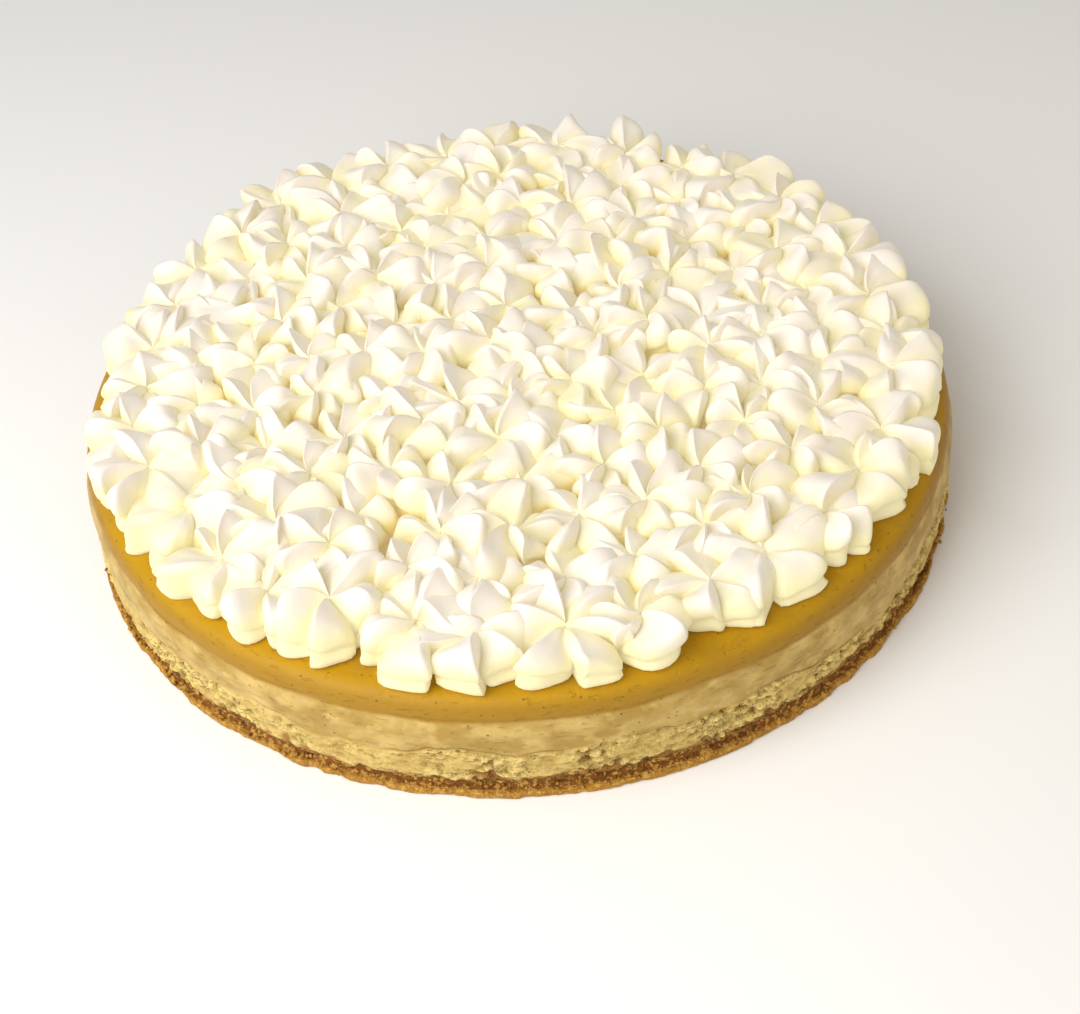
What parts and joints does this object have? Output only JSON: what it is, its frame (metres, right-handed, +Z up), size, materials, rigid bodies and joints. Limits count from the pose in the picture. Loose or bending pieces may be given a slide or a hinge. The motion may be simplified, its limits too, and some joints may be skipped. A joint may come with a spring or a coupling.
{
  "type": "cheesecake",
  "caption": "Round baked pumpkin cheesecake on a low crumb crust, its whole top covered with stars of piped whipped cream",
  "frame": {"origin": "centre of the flat underside of the crust, on the surface that the cake rests on", "axes": "+Z up through the cake, from the crust to the cream; +X to the right and -Y towards the viewer in the picture"},
  "size_m": [0.2539, 0.2541, 0.0513],
  "materials": {
    "crumb": "stands in for pressed biscuit crumb: brown, dry and rough, with a paler ragged foot",
    "filling": "stands in for baked pumpkin custard: golden skin on top, tan and crumbly at the side",
    "cream": "stands in for whipped cream: ivory white, soft satin"
  },
  "bodies": {
    "root": {"crumb_crust": "crumb", "pumpkin_filling": "filling", "whipped_cream": "cream"}
  },
  "joints": []
}
